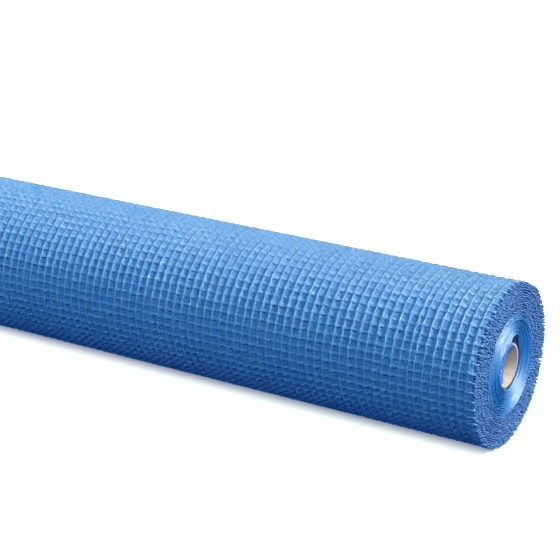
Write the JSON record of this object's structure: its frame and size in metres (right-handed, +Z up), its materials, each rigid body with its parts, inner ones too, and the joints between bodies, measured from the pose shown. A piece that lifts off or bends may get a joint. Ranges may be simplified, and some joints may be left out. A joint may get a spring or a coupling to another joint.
{
  "type": "roll of fiberglass mesh",
  "caption": "Roll of open-weave coated glass-fiber mesh wound on a cardboard tube, for bedding in plaster or render as crack-control reinforcement.",
  "frame": {"origin": "on the floor under the middle of the roll, as it lies on its side", "axes": "+X along the roll's axis, +Z up, +Y across the roll"},
  "size_m": [1, 0.1796, 0.1796],
  "materials": {
    "coated_mesh": "blue alkali-resistant coating on woven glass yarn, slightly glossy",
    "cardboard": "plain spiral-wound board, matt"
  },
  "bodies": {
    "root": {"mesh_roll": "coated_mesh", "core_tube": "cardboard"}
  },
  "joints": []
}
